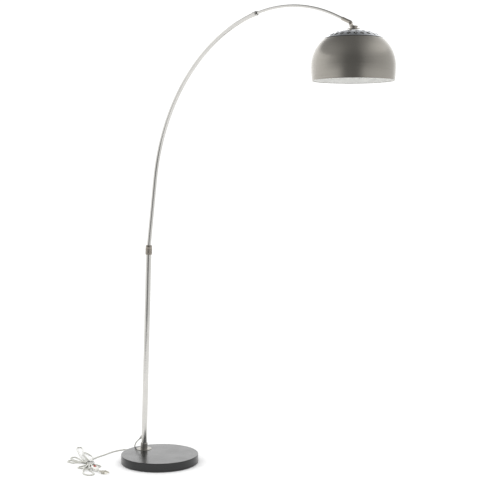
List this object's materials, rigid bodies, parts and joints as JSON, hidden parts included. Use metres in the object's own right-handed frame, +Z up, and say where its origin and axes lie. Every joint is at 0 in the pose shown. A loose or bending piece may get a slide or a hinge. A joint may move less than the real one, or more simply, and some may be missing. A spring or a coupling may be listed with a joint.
{
  "type": "arc floor lamp",
  "caption": "Floor lamp with a round stone base, a leaning pole, a long curved arm in a clamped pole top, and a hanging dome shade with a pierced vent cap and a tied mains lead.",
  "frame": {"origin": "centre of the round base, on the floor", "axes": "+Z up, +X the way the arm reaches, +Y to the left of it"},
  "size_m": [1.5325, 0.4815, 1.719],
  "materials": {
    "stone": "polished black stone",
    "felt": "black felt",
    "satin_nickel": "satin nickel plate",
    "zinc_steel": "zinc plated",
    "knurled_nickel": "knurled, satin nickel plate",
    "chrome": "polished",
    "brushed_shade": "brushed, satin nickel plate",
    "white_enamel": "white enamel",
    "nylon": "natural nylon",
    "grey_plastic": "moulded",
    "dark_plastic": "black",
    "white_plastic": "moulded",
    "red_plastic": "red rocker",
    "beige_plastic": "moulded",
    "blade_brass": "bright",
    "porcelain": "glazed white",
    "bulb_metal": "screw cap",
    "bulb_glass": "frosted inside",
    "cord_sheath": "silver-grey translucent sheath"
  },
  "bodies": {
    "base": {"marble_base": "stone", "felt_pad": "felt", "foot_flange": "satin_nickel", "foot_collar": "satin_nickel", "foot_stud": "zinc_steel", "foot_washer": "zinc_steel", "foot_nut": "zinc_steel", "foot_plug": "zinc_steel", "lower_pole": "satin_nickel", "cord_gland": "grey_plastic", "clamp_socket": "zinc_steel", "split_collet": "nylon", "pole_cable": "cord_sheath", "cord_lead": "cord_sheath", "cord_hank": "cord_sheath", "cord_tie": "dark_plastic", "cord_switch_lead": "cord_sheath", "switch_lower": "white_plastic", "switch_upper": "white_plastic", "switch_relief_in": "white_plastic", "switch_relief_out": "white_plastic", "rocker_pin": "zinc_steel", "cord_plug_lead": "cord_sheath", "plug_body": "beige_plastic", "plug_blades": "blade_brass"},
    "clamp_ring": {"lock_ring": "knurled_nickel"},
    "lift": {"guide_bush": "nylon"},
    "arm": {"arc_tube": "satin_nickel", "arm_cable": "cord_sheath", "ferrule": "satin_nickel", "ferrule_seal": "dark_plastic", "tip_tube": "satin_nickel", "tip_cable": "cord_sheath", "tilt_fork": "satin_nickel", "tilt_pin": "zinc_steel", "tilt_nut": "zinc_steel"},
    "shade": {"tilt_stem": "zinc_steel", "upper_disc": "satin_nickel", "disc_spacer": "zinc_steel", "lower_disc": "satin_nickel", "vent_cap": "chrome", "shade_dome": "brushed_shade", "shade_lining": "white_enamel", "threaded_nipple": "zinc_steel", "nipple_nut": "zinc_steel", "lamp_holder": "porcelain", "holder_ring": "porcelain", "bulb_cap": "bulb_metal", "bulb_glass": "bulb_glass"},
    "rocker": {"switch_rocker": "red_plastic"}
  },
  "joints": [
    {"name": "ring_turn", "type": "hinge", "parent": "base", "child": "clamp_ring", "pos_m": [-0.1001, 0, 0.0345], "axis": [0.0478, 0, 0.9989], "range_deg": [0, 180]},
    {"name": "arm_height", "type": "slide", "parent": "base", "child": "lift", "axis": [0.0478, 0, 0.9989], "range_m": [0, 0.1]},
    {"name": "arm_swivel", "type": "hinge", "parent": "lift", "child": "arm", "pos_m": [-0.1001, 0, 0.0345], "axis": [0.0478, 0, 0.9989], "range_deg": [-90, 90]},
    {"name": "shade_tilt", "type": "hinge", "parent": "arm", "child": "shade", "pos_m": [0.97777, 0, 1.63313], "axis": [0, 1, 0], "range_deg": [-35, 35]},
    {"name": "rocker_press", "type": "hinge", "parent": "base", "child": "rocker", "pos_m": [-0.082, -0.2548, 0.01], "axis": [0.289, 0.9573, 0], "range_deg": [-14, 0]}
  ]
}
